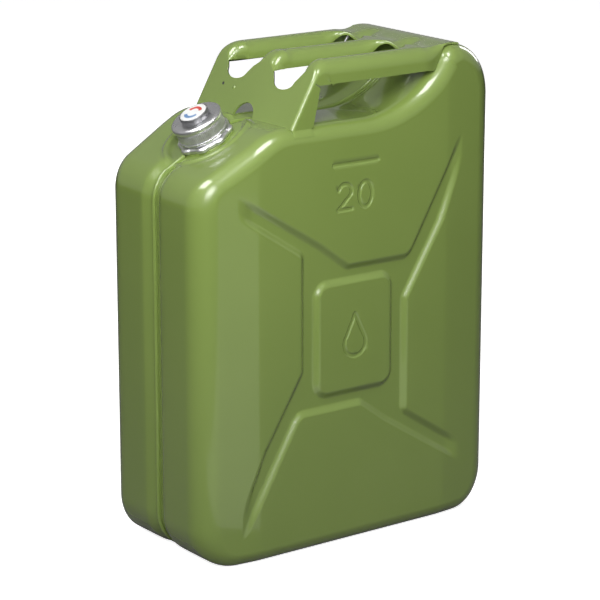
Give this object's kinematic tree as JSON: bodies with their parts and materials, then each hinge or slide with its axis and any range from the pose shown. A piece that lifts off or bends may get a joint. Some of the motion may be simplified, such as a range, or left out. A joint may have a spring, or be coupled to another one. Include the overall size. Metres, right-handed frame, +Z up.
{
  "type": "jerry can",
  "caption": "Steel fuel can with a cross embossed in each broad face, a three-bar carrying handle and a metal screw cap on a sloping front deck.",
  "frame": {"origin": "middle of the base, on the surface the can stands on", "axes": "+Z up, +X to the rear, away from the neck, +Y across the thickness"},
  "size_m": [0.345, 0.165, 0.4693],
  "materials": {
    "green_paint": "glossy olive green enamel",
    "plated_steel": "zinc plated steel",
    "polished_metal": "polished",
    "knurled_metal": "fine knurl, matt",
    "cast_metal": "satin",
    "white_label": "glossy white with two coloured arcs",
    "black_rubber": "matt"
  },
  "bodies": {
    "can": {"shell_near": "green_paint", "shell_far": "green_paint", "seam_weld": "green_paint", "neck_flange": "green_paint", "filler_neck": "plated_steel", "breather_tube": "plated_steel", "breather_bracket": "plated_steel", "handle_front_plate": "green_paint", "grip_bar_near": "green_paint", "grip_bar_centre": "green_paint", "grip_bar_far": "green_paint", "handle_rear_plate": "green_paint"},
    "cap_seal": {"cap_gasket": "black_rubber", "seal_disc": "plated_steel"},
    "cap": {"cap_shell": "polished_metal", "cap_grip_band": "knurled_metal", "cap_flange_ring": "polished_metal", "cap_crown": "cast_metal", "cap_label": "white_label", "seal_rivet": "polished_metal"}
  },
  "joints": [
    {"name": "cap_rise", "type": "slide", "parent": "can", "child": "cap_seal", "axis": [-0.4848, 0, 0.8746], "range_m": [0, 0.0165]},
    {"name": "cap_turn", "type": "hinge", "parent": "cap_seal", "child": "cap", "pos_m": [-0.11836, 0, 0.40693], "axis": [-0.4848, 0, 0.8746], "range_deg": [0, 1080]}
  ],
  "couplings": [
    {"joint": "cap_rise", "follows": "cap_turn", "m_per_rad": 0.000875}
  ]
}
